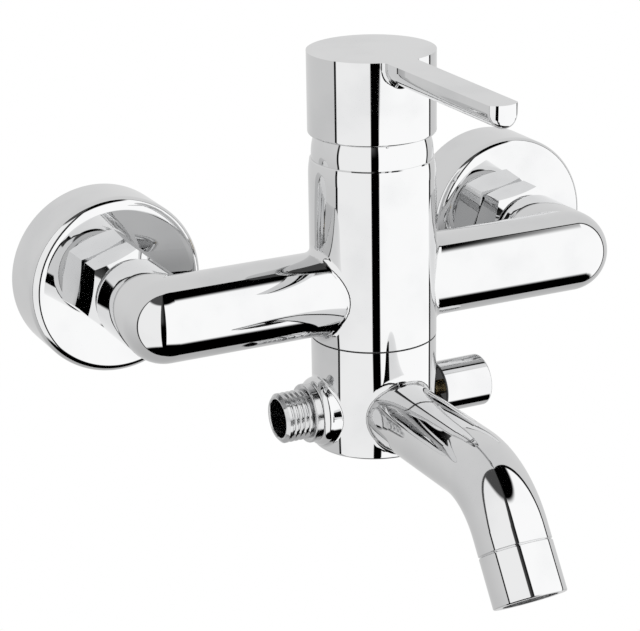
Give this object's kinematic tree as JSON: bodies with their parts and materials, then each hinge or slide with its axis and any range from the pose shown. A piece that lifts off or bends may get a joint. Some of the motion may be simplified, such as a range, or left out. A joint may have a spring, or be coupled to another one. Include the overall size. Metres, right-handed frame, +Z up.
{
  "type": "wall mounted bath mixer",
  "caption": "Single lever bath mixer for wall inlets, with a swinging bent spout, an aerator, a pull diverter knob and a threaded outlet for a shower hose",
  "frame": {"origin": "on the finished wall, midway between the axes of the two inlets", "axes": "+Z up, +Y into the wall, +X to the right as seen by the user in front of the wall"},
  "size_m": [0.2102, 0.1876, 0.1571],
  "materials": {
    "polished_chrome": "mirror polished plating",
    "plated_thread": "plated, machined thread",
    "bare_brass": "machined",
    "steel_fastener": "plain",
    "black_rubber": "matt",
    "moulded_plastic": "moulded",
    "dark_plastic": "moulded",
    "white_ceramic": "lapped alumina"
  },
  "bodies": {
    "mixer": {"left_wall_union": "bare_brass", "right_wall_union": "bare_brass", "left_escutcheon": "polished_chrome", "right_escutcheon": "polished_chrome", "left_coupling_nut": "polished_chrome", "right_coupling_nut": "polished_chrome", "left_inlet_washer": "black_rubber", "right_inlet_washer": "black_rubber", "left_tail_piece": "bare_brass", "right_tail_piece": "bare_brass", "mixer_body": "polished_chrome", "cartridge_base": "moulded_plastic", "cartridge_seals": "black_rubber", "cartridge_housing": "moulded_plastic", "fixed_ceramic_disc": "white_ceramic", "cartridge_lock_nut": "bare_brass", "cover_ring": "polished_chrome", "swivel_ring": "dark_plastic", "spigot_o_rings": "black_rubber"},
    "carrier": {"lever_carrier": "moulded_plastic", "pivot_pin": "steel_fastener"},
    "lever": {"lever_stem": "bare_brass", "lever_handle": "polished_chrome", "handle_screw": "steel_fastener"},
    "disc": {"moving_ceramic_disc": "white_ceramic", "disc_slider": "moulded_plastic"},
    "spout_swivel": {"spout_body": "polished_chrome", "stop_screw": "steel_fastener", "hose_nipple": "plated_thread", "hose_nipple_seal": "black_rubber", "diverter_bonnet": "polished_chrome", "diverter_stem_o_ring": "black_rubber", "spout": "polished_chrome", "aerator_collar": "polished_chrome", "aerator_washer": "black_rubber", "aerator_insert": "dark_plastic"},
    "diverter": {"diverter_poppet": "bare_brass", "poppet_seals": "black_rubber", "diverter_knob": "polished_chrome"}
  },
  "joints": [
    {"name": "lever_turn", "type": "hinge", "parent": "mixer", "child": "carrier", "pos_m": [0, -0.0583, 0.0452], "axis": [0, 0, 1], "range_deg": [-45, 45]},
    {"name": "lever_lift", "type": "hinge", "parent": "carrier", "child": "lever", "pos_m": [0, -0.0583, 0.0452], "axis": [-1, 0, 0], "range_deg": [0, 17]},
    {"name": "disc_slide", "type": "slide", "parent": "carrier", "child": "disc", "axis": [0, -1, 0], "range_m": [0, 0.00425]},
    {"name": "spout_swing", "type": "hinge", "parent": "mixer", "child": "spout_swivel", "pos_m": [0, -0.0583, -0.0411], "axis": [0, 0, 1], "range_deg": [-60, 60]},
    {"name": "diverter_pull", "type": "slide", "parent": "spout_swivel", "child": "diverter", "axis": [1, 0, 0], "range_m": [0, 0.007]}
  ],
  "couplings": [
    {"joint": "disc_slide", "follows": "lever_lift", "m_per_rad": 0.0143}
  ]
}
